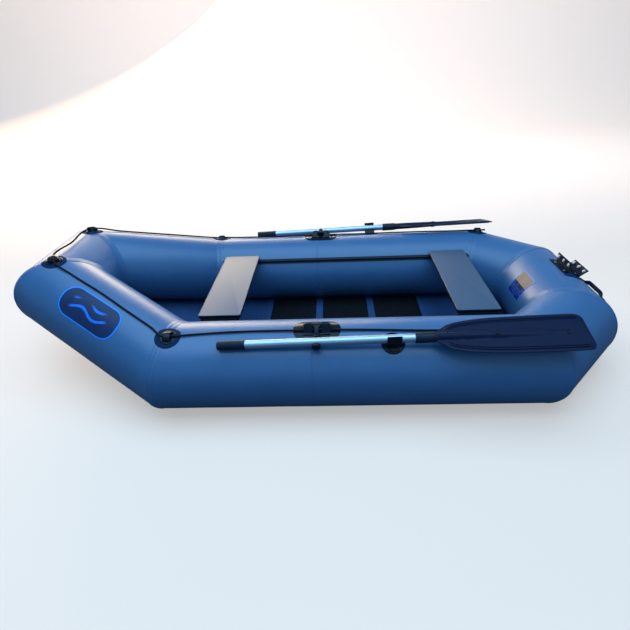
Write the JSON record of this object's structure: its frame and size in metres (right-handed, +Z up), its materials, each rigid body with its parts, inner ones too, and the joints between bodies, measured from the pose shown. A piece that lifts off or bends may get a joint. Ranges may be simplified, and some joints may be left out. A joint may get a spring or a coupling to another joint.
{
  "type": "inflatable rowing boat",
  "caption": "Blue inflatable rowing boat with a raised bow, slatted floor, sliding bench seats on rails, stowed oars in rowlocks, a grab line round the bow and a bracket on the stern.",
  "frame": {"origin": "on the ground, under the middle of the boat's overall outline", "axes": "+X towards the stern, +Y towards starboard, +Z up"},
  "size_m": [2.6396, 1.3338, 0.5706],
  "materials": {
    "hull_fabric": "blue coated fabric, satin",
    "patch_fabric": "dark blue coated fabric patch",
    "black_board": "black film-faced plywood",
    "seat_board": "satin dark blue board",
    "black_moulding": "satin dark blue moulding",
    "aluminium": "bright anodised tube",
    "blade_plastic": "dark blue moulded plastic",
    "steel": "plain steel",
    "rope": "black braided rope"
  },
  "bodies": {
    "hull": {"aft_valve_body": "black_moulding", "aft_valve_spring": "steel", "bottom_sheet": "hull_fabric", "bow_panel": "hull_fabric", "fore_valve_body": "black_moulding", "fore_valve_spring": "steel", "grab_line": "rope", "port_aft_side_panel": "hull_fabric", "port_baffle": "hull_fabric", "port_bow_panel": "hull_fabric", "port_bow_rope_loop": "black_moulding", "port_fore_side_panel": "hull_fabric", "port_front_rope_loop": "black_moulding", "port_oar_holder": "black_moulding", "port_quarter_panel": "hull_fabric", "port_rear_rope_loop": "black_moulding", "port_rowlock_axle": "steel", "port_rowlock_base": "black_moulding", "port_seat_rail": "black_moulding", "slat_board_1": "black_board", "slat_board_2": "black_board", "slat_board_3": "black_board", "slat_mat": "hull_fabric", "starboard_aft_side_panel": "hull_fabric", "starboard_baffle": "hull_fabric", "starboard_bow_panel": "hull_fabric", "starboard_bow_rope_loop": "black_moulding", "starboard_fore_side_panel": "hull_fabric", "starboard_front_rope_loop": "black_moulding", "starboard_oar_holder": "black_moulding", "starboard_quarter_panel": "hull_fabric", "starboard_rear_rope_loop": "black_moulding", "starboard_rowlock_axle": "steel", "starboard_rowlock_base": "black_moulding", "starboard_seat_rail": "black_moulding", "stern_bracket_front_plate": "black_moulding", "stern_bracket_pad": "patch_fabric", "stern_bracket_rear_plate": "black_moulding", "stern_handle": "black_moulding", "stern_panel": "hull_fabric"},
    "port_oar": {"port_yoke": "black_moulding", "port_oar_grip": "black_moulding", "port_oar_shaft": "aluminium", "port_oar_blade": "blade_plastic"},
    "starboard_oar": {"starboard_yoke": "black_moulding", "starboard_oar_grip": "black_moulding", "starboard_oar_shaft": "aluminium", "starboard_oar_blade": "blade_plastic"},
    "port_knob": {"port_oar_knob": "black_moulding"},
    "starboard_knob": {"starboard_oar_knob": "black_moulding"},
    "front_seat": {"front_seat": "seat_board", "port_front_seat_clip": "black_moulding", "starboard_front_seat_clip": "black_moulding"},
    "rear_seat": {"rear_seat": "seat_board", "port_rear_seat_clip": "black_moulding", "starboard_rear_seat_clip": "black_moulding"},
    "fore_valve_cap": {"fore_valve_cap": "black_moulding"},
    "aft_valve_cap": {"aft_valve_cap": "black_moulding"},
    "fore_valve_plunger": {"fore_valve_plunger": "black_moulding"},
    "aft_valve_plunger": {"aft_valve_plunger": "black_moulding"}
  },
  "joints": [
    {"name": "port_oar_tilt", "type": "hinge", "parent": "hull", "child": "port_oar", "pos_m": [0.02877, -0.49324, 0.38093], "axis": [-1, 0, 0], "range_deg": [0, 105]},
    {"name": "starboard_oar_tilt", "type": "hinge", "parent": "hull", "child": "starboard_oar", "pos_m": [0.02877, 0.49324, 0.38093], "axis": [1, 0, 0], "range_deg": [0, 105]},
    {"name": "port_knob_spin", "type": "hinge", "parent": "port_oar", "child": "port_knob", "pos_m": [0.02877, -0.59157, 0.35458], "axis": [0, -0.9659, -0.2588], "continuous": true},
    {"name": "starboard_knob_spin", "type": "hinge", "parent": "starboard_oar", "child": "starboard_knob", "pos_m": [0.02877, 0.59157, 0.35458], "axis": [0, 0.9659, -0.2588], "continuous": true},
    {"name": "front_seat_slide", "type": "slide", "parent": "hull", "child": "front_seat", "axis": [1, 0, 0], "range_m": [0, 0.4]},
    {"name": "rear_seat_slide", "type": "slide", "parent": "hull", "child": "rear_seat", "axis": [1, 0, 0], "range_m": [-0.4, 0]},
    {"name": "fore_valve_cap_spin", "type": "hinge", "parent": "hull", "child": "fore_valve_cap", "pos_m": [-0.19023, -0.285, 0.18], "axis": [0, 1, 0], "continuous": true},
    {"name": "fore_valve_plunger_slide", "type": "slide", "parent": "hull", "child": "fore_valve_plunger", "axis": [0, -1, 0], "range_m": [0, 0.0035], "stiffness_N_per_m": 300, "springref_m": -0.003, "deforming": ["fore_valve_spring"]},
    {"name": "aft_valve_cap_spin", "type": "hinge", "parent": "hull", "child": "aft_valve_cap", "pos_m": [0.45977, -0.285, 0.18], "axis": [0, 1, 0], "continuous": true},
    {"name": "aft_valve_plunger_slide", "type": "slide", "parent": "hull", "child": "aft_valve_plunger", "axis": [0, -1, 0], "range_m": [0, 0.0035], "stiffness_N_per_m": 300, "springref_m": -0.003, "deforming": ["aft_valve_spring"]}
  ]
}
